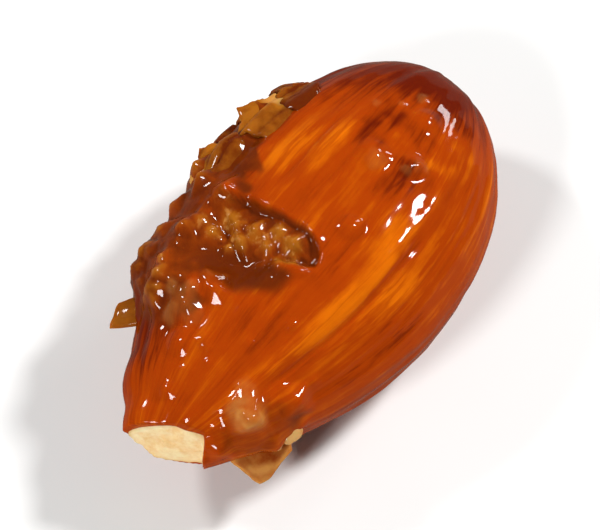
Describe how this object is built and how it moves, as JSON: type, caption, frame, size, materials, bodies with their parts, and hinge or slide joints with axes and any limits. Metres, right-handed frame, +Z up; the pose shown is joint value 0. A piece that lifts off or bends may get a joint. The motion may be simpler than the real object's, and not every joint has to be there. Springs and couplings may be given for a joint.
{
  "type": "candied almond",
  "caption": "Whole almond kernel in its ridged skin, glazed and partly crusted with set caramel, with snapped caramel flakes on one flank and a broken pale tip. Lies on a broad face.",
  "frame": {"origin": "on the surface that the nut lies on, under the middle of its bounding box", "axes": "+X to the round end, away from the broken tip; +Y to the crusted flank; +Z up"},
  "size_m": [0.025, 0.0152, 0.0097],
  "materials": {
    "candied": "glossy set caramel over brown nut skin"
  },
  "bodies": {
    "root": {"candied_almond": "candied"}
  },
  "joints": []
}
